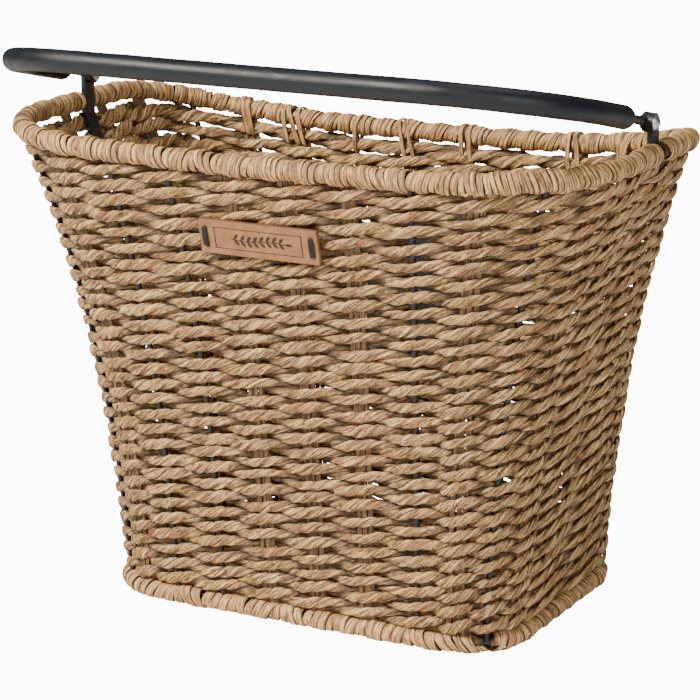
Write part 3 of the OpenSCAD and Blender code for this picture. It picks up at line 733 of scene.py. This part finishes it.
def add_core(skin, ring_frame, start, end, radius):
    """The bundle of fibre under the turns, painted dark as shade."""
    run = np.linspace(start, end, int((end - start) / 4) + 2)
    middle, out, along = ring_frame(run)
    up = np.cross(out, along)
    angle = np.arange(CORE_SIDES) / CORE_SIDES * TURN
    circle = radius * np.stack([np.cos(angle), np.sin(angle)], -1)
    around = out[:, None, :] * circle[None, :, :1] + up[:, None, :] * circle[None, :, 1:]
    # Painted shade: the core under the turns is made almost fully dark.
    dark = np.full((len(run), CORE_SIDES), 0.9)
    skin.add(middle[:, None, :] + around, strip_grain(run, circle), dark)


TIE_RINGS = 40
ROW_FACE = 4.3  # how far a tie stands off the wall's middle where it goes round the first row


def add_tie(skin, place, rng, low, radius):
    """A strip that goes over the rim's wrap and down round the first row."""
    angle = np.arange(TIE_RINGS) / TIE_RINGS * TURN
    top = float(rim_level(place))
    level = top + np.where(np.sin(angle) > 0, radius * np.sin(angle), low * np.sin(angle))
    reach = radius + (ROW_FACE - radius) * np.clip(-np.sin(angle), 0, 1)
    side_by = reach * np.sign(np.cos(angle)) * np.abs(np.cos(angle)) ** 0.55
    middle = wall_at(np.full(TIE_RINGS, place), level, side_by)
    out = outward(place)
    along = np.array([-out[1], out[0], 0.0])
    lean = rng.uniform(-2.5, 2.5)
    middle = middle + along * (lean * np.sin(angle))[:, None]
    ahead = np.roll(middle, -1, 0) - np.roll(middle, 1, 0)
    ahead /= np.linalg.norm(ahead, axis=1)[:, None]
    normal = np.cross(ahead, along)
    normal /= np.linalg.norm(normal, axis=1)[:, None]
    width = rng.uniform(2.6, 3.6)
    profile = flat_profile(width, 0.6, 3)
    sign = np.sign(np.sum(normal * (middle - wall_at(np.array(place), np.array(top - 4.0))), -1))
    normal *= np.where(sign == 0, 1, sign)[:, None]
    rings = (middle[:, None, :] + along * profile[None, :, :1]
             + normal[:, None, :] * profile[None, :, 1:])
    grain = strip_grain(angle * 9, profile, 50 * rng.uniform())
    skin.add(rings, grain, np.tile(painted_edge_shade(profile, width), (TIE_RINGS, 1)), closed=True)


def rim_run_at(place):
    return float(np.interp(place, np.arange(9), RUNS))


WRAP_OPENING = 10.9
STRIP_WIDTH = 2.9


def make_rim_wraps():
    """The wound strip round the rim, in a front and a back length between the brackets."""
    rng = np.random.default_rng(23)
    right = SIDE_RUN / 2 + STRAP_SHIFT
    left = rim_run_at(5) - SIDE_RUN / 2 - STRAP_SHIFT
    half = WRAP_OPENING / 2
    for name, start, end in (("front", left + half, RIM_RUN + right - half),
                             ("back", right + half, left - half)):
        skin = Skin()
        add_core(skin, rim_frame, start, end, RIM_WRAP - 2.6)
        wind(skin, rim_frame, start, end, RIM_WRAP, STRIP_WIDTH, rng, (3, 8))
        piece = skin.build("rim_winding_" + name)
        finish_piece(piece, WOUND_STRIP, replaces=["top_wrap_" + name])


def make_ties():
    """Strips that hold the first row to the rim where it stands off from it."""
    rng = np.random.default_rng(31)
    skin = Skin()
    for stake in range(STAKES):
        place = float(place_at(stake + rng.uniform(-0.12, 0.12)))
        gap = float(rim_level(place) - wall_top(place))
        if not 1.3 < place < 3.7 or rng.uniform() < 0.35:
            continue
        for extra in range(int(rng.integers(1, 4))):
            add_tie(skin, place + extra * 0.025, rng, gap + 6.0, RIM_WRAP - 0.1)
    finish_piece(skin.build("rim_ties"), WOUND_STRIP)


BARE_FOOT = 4.5  # length of base wire left bare at the foot of the front right upright


def make_base_wrap():
    """The wound strip round the base wire, worn flat where it stands."""
    rng = np.random.default_rng(41)
    skin = Skin()
    start = float(np.interp(STEEL_PLACES[-1], np.arange(9), BASE_RUNS)) + BARE_FOOT / 2
    end = start + BASE_RUN - BARE_FOOT
    add_core(skin, base_frame, start, end, BASE_WRAP - 2.7)
    wind(skin, base_frame, start, end, BASE_WRAP, 4.6, rng, (2, 5), floor=0.02)
    finish_piece(skin.build("base_winding"), WOUND_STRIP, replaces=["base_wrap"])


# ---- Woven floor -----------------------------------------------------------------------
FLOOR_LOW, FLOOR_HIGH = span("woven_floor")
FLOOR_MIDDLE = (FLOOR_LOW[2] + FLOOR_HIGH[2]) / 2
FLOOR_PITCH = BASE_WIDTH / 21  # seven rows between the two long wires
FLOOR_STAKE = BASE_LENGTH / 10
FLOOR_SWING, FLOOR_CROSSING, FLOOR_PLY_DEPTH = 1.75, 2.0, 0.24  # as for the wall's strands


def floor_reach(y):
    """How far the floor reaches along X, either side of its middle, at this Y."""
    inner = BASE_CORNER - 3.5
    past = max(0.0, abs(y) - (BASE_WIDTH / 2 - BASE_CORNER))
    return BASE_LENGTH / 2 - BASE_CORNER + math.sqrt(max(0.0, inner**2 - min(past, inner) ** 2))


def make_floor():
    """Twined rows along the floor, round flat strips and the crossing wires."""
    rng = np.random.default_rng(53)
    skin = Skin()
    for k in range(-9, 10):
        y = k * FLOOR_PITCH + 1.6 * (k / 9) ** 3
        reach = floor_reach(y)
        x = np.linspace(-reach, reach, int(2 * reach / 2.0))
        for which in (0, 1):
            phase = math.pi * (x / FLOOR_STAKE + which)
            fat = 1 + 0.1 * wander(rng, 64, x / 12 + 20)
            off = FLOOR_SWING * np.cos(phase)
            side = -FLOOR_CROSSING * np.sin(phase) + 0.25 * wander(rng, 64, x / 14 + 20)
            twist = TURN * x / LAY + rng.uniform(0, TURN)
            # groove is painted shade in the grooves between plies.
            factor, groove = lobes(SIDE_ANGLES, twist[:, None], FLOOR_PLY_DEPTH)
            half_up = (1.6 * fat)[:, None]
            half_side = ((2.8 + 0.7 * np.abs(np.cos(phase))) * fat)[:, None]
            z = FLOOR_MIDDLE + off[:, None] + half_up * factor * np.cos(SIDE_ANGLES)
            across = BASE_MIDDLE + y + side[:, None] + half_side * factor * np.sin(SIDE_ANGLES)
            rings = np.stack([np.repeat(x[:, None], SIDES, 1), across, z], -1)
            round_grain = SIDE_ANGLES - twist[:, None]
            grain = np.stack([np.repeat(x[:, None] + rng.uniform(0, 4000), SIDES, 1),
                              half_up * np.cos(round_grain), half_side * np.sin(round_grain)], -1)
            skin.add(rings, grain, groove)
    piece = skin.build("floor_rows")
    finish_piece(piece, TWISTED_STRAND, replaces=["woven_floor"])


def make_floor_stakes():
    """Flat strips across the floor, but where a wire takes their place."""
    skin = Skin()
    profile = flat_profile(STAKE_STRIP_WIDTH, 0.6, 2)
    for k in (-4, -3, -1, 0, 1, 3, 4):
        for half in (-1, 1):
            x = k * FLOOR_STAKE + half * (STAKE_STRIP_WIDTH / 2 + 0.1)
            past = max(0.0, abs(x) - (BASE_LENGTH / 2 - BASE_CORNER))
            reach = BASE_WIDTH / 2 - BASE_CORNER + math.sqrt((BASE_CORNER - 3) ** 2 - past**2)
            y = np.linspace(-reach, reach, 24)
            flat = strip_grain(y, profile)[..., [1, 0, 2]]  # the strip's width lies along X
            rings = flat + [x, BASE_MIDDLE, FLOOR_MIDDLE]
            skin.add(rings, strip_grain(y + 211 * k, profile))
    finish_piece(skin.build("floor_stake_strips"), STAKE_STRIP)


# ---- Foam grip -------------------------------------------------------------------------
PIVOT = np.array(frame["joints"][0]["pos_m"]) / MM
GRIP_LOW, GRIP_HIGH = span("foam_grip")
GRIP = 13.0
ARM_X = GRIP_HIGH[0] - GRIP / 2
BAR_MIDDLE = np.array([GRIP_LOW[1], GRIP_HIGH[2]]) + np.array([GRIP, -GRIP]) / 2
ARM = math.hypot(BAR_MIDDLE[0] - PIVOT[1], BAR_MIDDLE[1] - PIVOT[2])
REST_ANGLE = math.atan2(BAR_MIDDLE[1] - PIVOT[2], PIVOT[1] - BAR_MIDDLE[0])
BAIL_BEND = 74.0
BARE_ARM = 30.0
GRIP_SIDES = 40
GRIP_END = 3.6  # radius of the rounded ends


def bail_path(start, spacing):
    """Points along the bail from its left arm to its right arm, start past each pivot."""
    straight = ARM - BAIL_BEND
    bar = ARM_X - BAIL_BEND
    lengths = [straight - start, BAIL_BEND * math.pi / 2, 2 * bar, BAIL_BEND * math.pi / 2,
               straight - start]
    ends = np.cumsum([0] + lengths)
    run = np.linspace(0, ends[-1], int(ends[-1] / spacing))
    first, second = (run - ends[1]) / BAIL_BEND, (run - ends[3]) / BAIL_BEND
    first, second = np.clip(first, 0, math.pi / 2), np.clip(second, 0, math.pi / 2)
    left_arm, right_arm = np.clip(run, 0, ends[1]), np.clip(run - ends[4], 0, lengths[4])
    x = (-ARM_X + BAIL_BEND * (1 - np.cos(first)) + np.clip(run - ends[2], 0, 2 * bar)
         + BAIL_BEND * np.sin(second))
    ahead = (start + left_arm + BAIL_BEND * np.sin(first) - BAIL_BEND * (1 - np.cos(second))
             - right_arm)
    return run, np.stack([x, PIVOT[1] - ahead * math.cos(REST_ANGLE),
                          PIVOT[2] + ahead * math.sin(REST_ANGLE)], -1)


def make_grip():
    """The foam tube: rounded ends and a faintly uneven skin."""
    rng = np.random.default_rng(61)
    run, path = bail_path(BARE_ARM, 2.0)
    up = np.array([0.0, math.sin(REST_ANGLE), math.cos(REST_ANGLE)])
    angle = np.arange(GRIP_SIDES) / GRIP_SIDES * TURN
    near_end = np.minimum(run, run[-1] - run)
    into_end = np.maximum(0, GRIP_END - near_end)
    inset = GRIP_END - np.sqrt(np.maximum(0, GRIP_END**2 - into_end**2))
    radius = GRIP / 2 - inset + 0.06 * wander(rng, 200, run / 9)
    dent = 0.07 * np.cos(2 * angle[None, :] + wander(rng, 50, run / 30)[:, None] * 3)
    reach = radius[:, None] + dent * (near_end > 4)[:, None]
    skin = Skin()
    skin.add(tube(path, up, angle, reach))
    grip = finish_piece(skin.build("foam_tube"), foam_material(), "handle",
                        ["foam_grip"])


# ---- Leather tag -----------------------------------------------------------------------
TAG_LENGTH, TAG_HEIGHT, TAG_THICK = 74.0, 20.5, 2.4
TAG_LEVEL = 233.0
TAG_PLACE = 6.5
STITCH_GAP, STITCH_RUN = 66.0, 12.0


def tag_frame():
    """Middle of the tag's back, and its unit vectors along, up and out."""
    low, high = wall_at(np.full(2, TAG_PLACE), TAG_LEVEL + np.array([-0.5, 0.5]) * TAG_HEIGHT)
    up = (high - low) / np.linalg.norm(high - low)
    along = np.array([1.0, 0.0, 0.0])
    out = np.cross(along, up)
    middle = wall_at(np.array(TAG_PLACE), np.array(TAG_LEVEL))
    return middle + out * 4.5, along, up, out


def leaf(x, y, at, angle, length, width):
    """1 inside a pointed leaf whose stalk is at a point, 0 outside it."""
    c, s = math.cos(angle), math.sin(angle)
    u = ((x - at[0]) * c + (y - at[1]) * s) / length
    v = (-(x - at[0]) * s + (y - at[1]) * c) / width
    inside = np.clip(u, 0, 1)
    return (np.abs(v) < np.sin(math.pi * inside) ** 0.8) & (u > 0) & (u < 1)


def burned(x, y):
    """How much the tag is burned at points of its face: a border line and a leafy sprig."""
    edge = np.maximum(np.abs(x) - (STITCH_GAP / 2 - 6.0), np.abs(y) - 6.2)
    border = np.abs(edge) < 0.28
    mark = np.abs(y - 0.7 * np.sin(x / 5)) < 0.3
    mark &= np.abs(x) < 17
    for k in range(-4, 4):
        at = (k * 4.0 + 1.0, 0.7 * math.sin((k * 4.0 + 1.0) / 5))
        mark |= leaf(x, y, at, math.radians(52), 4.6, 0.95)
        mark |= leaf(x, y, at, math.radians(-46), 4.6, 0.95)
    mark |= leaf(x, y, (16.5, 0.0), 0.0, 4.8, 0.95)
    return (border | mark).astype(float)


def make_tag():
    """The leather tag: rounded, slightly crowned, pulled in at its stitches."""
    middle, along, up, out = tag_frame()
    cell = 0.25
    x = np.linspace(-TAG_LENGTH / 2, TAG_LENGTH / 2, int(TAG_LENGTH / cell) + 1)
    y = np.linspace(-TAG_HEIGHT / 2, TAG_HEIGHT / 2, int(TAG_HEIGHT / cell) + 1)
    gx, gy = np.meshgrid(x, y, indexing="ij")
    corner = 1.8
    cx = np.clip(np.abs(gx) - (TAG_LENGTH / 2 - corner), 0, None)
    cy = np.clip(np.abs(gy) - (TAG_HEIGHT / 2 - corner), 0, None)
    shrink = np.where(np.hypot(cx, cy) > corner, corner / np.maximum(np.hypot(cx, cy), 1e-6), 1.0)
    px = np.sign(gx) * (np.abs(gx) - cx + cx * shrink)
    py = np.sign(gy) * (np.abs(gy) - cy + cy * shrink)
    rim = np.minimum(TAG_LENGTH / 2 - np.abs(px), TAG_HEIGHT / 2 - np.abs(py))
    fall = 0.5 * np.clip(1 - rim / 0.8, 0, 1) ** 2
    pull = 0.0
    for sx in (-1, 1):
        near = np.exp(-(((px - sx * STITCH_GAP / 2) / 1.6) ** 2))
        pull = pull + 0.45 * near * (np.abs(py) < STITCH_RUN / 2 + 0.6)
    mark = burned(px, py)
    front = TAG_THICK - fall - pull - 0.18 * mark
    bow = 0.35 * (px / (TAG_LENGTH / 2)) ** 2
    scorch = np.clip(1 - rim / 0.7, 0, 1) * 0.55
    tone = np.clip(mark * 0.92 + scorch, 0, 1)
    top = middle + px[..., None] * along + py[..., None] * up + (front - bow)[..., None] * out
    back = middle + px[..., None] * along + py[..., None] * up - bow[..., None] * out
    tag = sheet_solid("leather_label", top, back, tone)
    finish_piece(tag, leather_material(), replaces=["leather_tag"])


def sheet_solid(name, top, back, tone):
    """A closed solid between two grids of points, with a tone for each point of the top."""
    nx, ny = top.shape[:2]
    index = np.arange(nx * ny).reshape(nx, ny)
    cells = [index[:-1, :-1], index[1:, :-1], index[1:, 1:], index[:-1, 1:]]
    over = np.stack(cells, -1).reshape(-1, 4)
    under = np.roll(over[:, ::-1], 1, axis=1) + nx * ny
    loop = np.concatenate([index[:-1, 0], index[-1, :-1], index[:0:-1, -1], index[0, :0:-1]])
    after = np.roll(loop, -1)
    side = np.stack([loop, loop + nx * ny, after + nx * ny, after], -1)
    faces = np.concatenate([over, under, side])
    skin = Skin()
    skin.points = [np.concatenate([top.reshape(-1, 3), back.reshape(-1, 3)])]
    skin.grain = [np.zeros((2 * nx * ny, 3))]
    skin.groove = [np.concatenate([tone.ravel(), np.full(nx * ny, 0.25)])]
    skin.loops, skin.sizes = [faces.ravel()], [np.full(len(faces), 4)]
    return skin.build(name)


THREAD = 0.58  # radius of the thread
THREAD_SIDES = 10
THREAD_PITCH = 0.95


def make_stitches():
    """Three runs of black thread side by side near each end of the tag."""
    middle, along, up, out = tag_frame()
    skin = Skin()
    angle = np.arange(THREAD_SIDES) / THREAD_SIDES * TURN
    rng = np.random.default_rng(71)
    for sx in (-1, 1):
        for k in (-1, 0, 1):
            x = sx * STITCH_GAP / 2 + k * THREAD_PITCH
            half = STITCH_RUN / 2 + rng.uniform(-0.4, 0.4)
            s = np.linspace(-1, 1, 30)
            crown = 0.55 * (1 - np.abs(s) ** 6)
            dive = 3.4 * np.clip(np.abs(s) - 0.86, 0, 1) * 4
            height = TAG_THICK - 0.15 + crown - dive
            path = middle + along * (x + 0.12 * np.sin(5 * s + k))[:, None]
            path = path + up * (half * s)[:, None] + out * height[:, None]
            twist = angle[None, :] + 3 * s[:, None]
            grain = np.stack([np.repeat((half * s)[:, None], THREAD_SIDES, 1),
                              THREAD * np.cos(twist), THREAD * np.sin(twist)], -1)
            skin.add(tube(path, out, angle, THREAD), grain)
    finish_piece(skin.build("tag_thread"), thread_material(),
                 replaces=["tag_stitches"])


# ---- CAD nodes that stay ---------------------------------------------------------------
KEPT = (
    (BLACK_STEEL, ("top_rim_wire", "base_ring_wire", "front_uprights", "corner_uprights",
                   "back_uprights", "plate_crossbars", "floor_wires", "bracket_left",
                   "bracket_right", "bail_wire_frame")),
    (ZINC_STEEL, ("rivet_left", "rivet_right", "plate_screws", "plate_washers", "plate_nuts")),
    (BLACK_NYLON, ("washer_left", "washer_right", "release_plate", "backing_plate")),
)


def finish_kept_nodes():
    """Puts the finished materials on the CAD nodes whose shape is right."""
    for finish, nodes in KEPT:
        for node in nodes:
            mesh = frame["nodes"][node].data
            mesh.materials.clear()
            mesh.materials.append(finish)


# ---- Camera, lights and floor ----------------------------------------------------------
CAMERA_TURN, CAMERA_RISE = 27.93, 14.75  # degrees
CAMERA_FAR = 1580.5
CAMERA_LENS = 139.8
CAMERA_TARGET = (1.13, RIM_MIDDLE, 145.7)


def aim(obj, target):
    """Turns a light or the camera towards a point, both in metres."""
    obj.rotation_euler = (Vector(target) - obj.location).to_track_quat("-Z", "Y").to_euler()


def make_camera():
    data = bpy.data.cameras.new("camera")
    data.lens = CAMERA_LENS
    data.shift_x, data.shift_y = -0.005, 0.0015
    camera = bpy.data.objects.new("camera", data)
    turn, rise = math.radians(CAMERA_TURN), math.radians(CAMERA_RISE)
    level = math.cos(rise)
    back = np.array([math.sin(turn) * level, -math.cos(turn) * level, math.sin(rise)])
    camera.location = (np.array(CAMERA_TARGET) + CAMERA_FAR * back) * MM
    aim(camera, np.array(CAMERA_TARGET) * MM)
    bpy.context.scene.collection.objects.link(camera)
    bpy.context.scene.camera = camera


def make_light(name, location, size, power, tint=(1.0, 1.0, 1.0)):
    data = bpy.data.lights.new(name, "AREA")
    data.size, data.energy, data.color = size, power, tint
    light = bpy.data.objects.new(name, data)
    light.location = location
    aim(light, (0.0, 0.0, 0.15))
    bpy.context.scene.collection.objects.link(light)


def make_studio():
    """A plain pale floor, a soft key from the upper left, a fill and an even pale sky."""
    bpy.ops.mesh.primitive_plane_add(size=12.0, location=(0, 0, -0.0002))
    floor = bpy.context.object
    floor.name = "studio_floor"
    made, nodes, shader = material("studio_floor", Roughness=0.9, Base_Color=(0.86, 0.86, 0.85, 1))
    glow = nodes.add("Emission", ("Color", (1, 1, 1, 1)), ("Strength", 14.0))
    seen = nodes.math("MULTIPLY", nodes.add("LightPath").outputs["Is Camera Ray"], 0.9)
    blend = nodes.add("MixShader", (0, seen), (1, shader.outputs[0]), (2, glow.outputs[0]))
    output = made.node_tree.nodes["Material Output"]
    made.node_tree.links.new(blend.outputs[0], output.inputs["Surface"])
    floor.data.materials.append(made)
    make_light("key", (-1.1, -1.6, 1.8), 0.6, 114.0, (1.0, 0.95, 0.88))
    make_light("fill", (1.9, -1.2, 1.0), 1.0, 24.0)
    make_light("top", (0.2, 0.5, 2.2), 1.0, 9.0)
    world = bpy.data.worlds.new("studio")
    world.use_nodes = True
    nodes = Nodes(world.node_tree)
    sky = nodes.add("Background", ("Color", (0.95, 0.96, 1.0, 1)), ("Strength", 0.13))
    wall = nodes.add("Background", ("Color", (1, 1, 1, 1)), ("Strength", 14.0))
    seen = nodes.add("LightPath").outputs["Is Camera Ray"]
    blend = nodes.add("MixShader", (0, seen), (1, sky.outputs[0]), (2, wall.outputs[0]))
    output = world.node_tree.nodes["World Output"]
    world.node_tree.links.new(blend.outputs[0], output.inputs["Surface"])
    bpy.context.scene.world = world


make_camera()
make_studio()
make_wall_rows()
make_stakes()
make_rim_wraps()
make_ties()
make_base_wrap()
make_floor()
make_floor_stakes()
make_grip()
make_tag()
make_stitches()
finish_kept_nodes()
